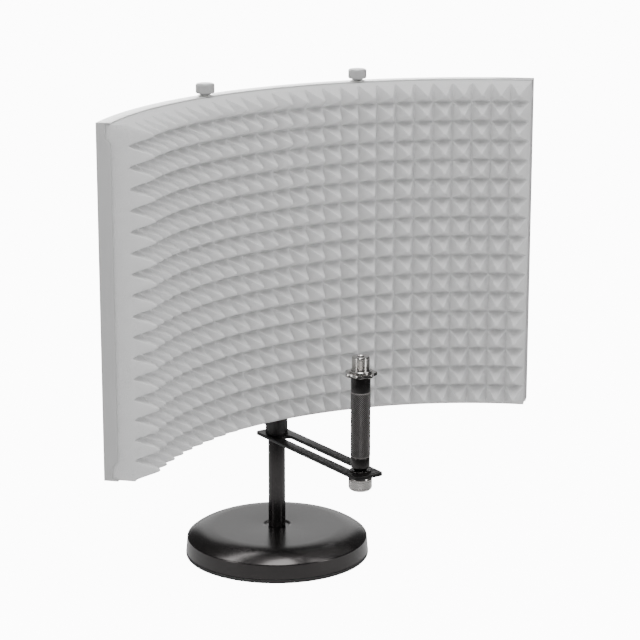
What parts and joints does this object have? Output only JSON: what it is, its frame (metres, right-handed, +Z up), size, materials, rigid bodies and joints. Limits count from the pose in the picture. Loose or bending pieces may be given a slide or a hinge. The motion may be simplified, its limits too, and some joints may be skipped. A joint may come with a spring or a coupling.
{
  "type": "microphone isolation shield",
  "caption": "Curved steel-backed acoustic foam shield on a round weighted desk base, with a slotted arm carrying a knurled microphone post.",
  "frame": {"origin": "centre of the base's underside, on the table, on the column's axis", "axes": "+Z up along the column; -Y towards the user, along the slotted arm; +X to the right when the foam is seen from the user's side"},
  "size_m": [0.4532, 0.2386, 0.4514],
  "materials": {
    "gloss_black": "gloss",
    "textured_black": "matte",
    "knurled_black": "satin",
    "shield_grey": "satin",
    "foam_grey": "matte",
    "knob_grey": "satin",
    "chrome": "polished",
    "zinc_steel": "satin",
    "rubber_black": "matte"
  },
  "bodies": {
    "stand": {"base_casting": "gloss_black", "base_rubber_boot": "rubber_black", "base_washer": "zinc_steel", "base_spring_washer": "zinc_steel", "base_bolt": "zinc_steel", "column_tube": "gloss_black", "column_lower_plug": "zinc_steel", "column_upper_stud": "zinc_steel", "arm_washer": "chrome"},
    "arm": {"slotted_arm": "gloss_black"},
    "shield": {"shield_carrier": "textured_black", "rear_plate": "shield_grey", "plate_screws": "zinc_steel", "plate_nuts": "zinc_steel", "lug_screws": "zinc_steel", "lug_nuts": "zinc_steel", "back_panel": "shield_grey", "acoustic_foam": "foam_grey", "knob_nuts": "zinc_steel"},
    "post_slider": {"post_upper_washer": "gloss_black"},
    "post": {"post_rod": "zinc_steel", "post_lower_collar": "gloss_black", "knurled_grip": "knurled_black", "post_upper_collar": "gloss_black", "mic_adapter": "chrome"},
    "lock_ring": {"lock_ring": "chrome"},
    "nut_washer": {"post_lower_washer": "chrome"},
    "thumb_nut": {"thumb_nut": "chrome"},
    "left_washer": {"left_knob_washer": "zinc_steel"},
    "left_knob": {"left_knob": "knob_grey", "left_knob_stud": "zinc_steel"},
    "right_washer": {"right_knob_washer": "zinc_steel"},
    "right_knob": {"right_knob": "knob_grey", "right_knob_stud": "zinc_steel"}
  },
  "joints": [
    {"name": "arm_swing", "type": "hinge", "parent": "stand", "child": "arm", "pos_m": [0, 0, 0.1157], "axis": [0, 0, 1], "continuous": true},
    {"name": "shield_swivel", "type": "hinge", "parent": "arm", "child": "shield", "pos_m": [0, 0, 0.126], "axis": [0, 0, 1], "range_deg": [-40, 40]},
    {"name": "post_slide", "type": "slide", "parent": "arm", "child": "post_slider", "axis": [0, 1, 0], "range_m": [0, 0.05]},
    {"name": "post_turn", "type": "hinge", "parent": "post_slider", "child": "post", "pos_m": [0, -0.1375, 0.16], "axis": [0, 0, 1], "continuous": true},
    {"name": "lock_ring_turn", "type": "hinge", "parent": "post", "child": "lock_ring", "pos_m": [0, -0.1375, 0.2066], "axis": [0, 0, 1], "range_deg": [0, 720]},
    {"name": "thumb_nut_drop", "type": "slide", "parent": "post_slider", "child": "nut_washer", "axis": [0, 0, -1], "range_m": [0, 0.004]},
    {"name": "thumb_nut_turn", "type": "hinge", "parent": "nut_washer", "child": "thumb_nut", "pos_m": [0, -0.1375, 0.106], "axis": [0, 0, -1], "range_deg": [0, 1153]},
    {"name": "left_knob_lift", "type": "slide", "parent": "shield", "child": "left_washer", "axis": [0, 0, 1], "range_m": [0, 0.006]},
    {"name": "left_knob_turn", "type": "hinge", "parent": "left_washer", "child": "left_knob", "pos_m": [-0.08012, -0.01319, 0.445], "axis": [0, 0, 1], "range_deg": [0, 2701]},
    {"name": "right_knob_lift", "type": "slide", "parent": "shield", "child": "right_washer", "axis": [0, 0, 1], "range_m": [0, 0.006]},
    {"name": "right_knob_turn", "type": "hinge", "parent": "right_washer", "child": "right_knob", "pos_m": [0.08012, -0.01319, 0.445], "axis": [0, 0, 1], "range_deg": [0, 2701]}
  ],
  "couplings": [
    {"joint": "thumb_nut_turn", "follows": "thumb_nut_drop", "rad_per_m": 5026.5},
    {"joint": "left_knob_turn", "follows": "left_knob_lift", "rad_per_m": 7854},
    {"joint": "right_knob_turn", "follows": "right_knob_lift", "rad_per_m": 7854}
  ]
}
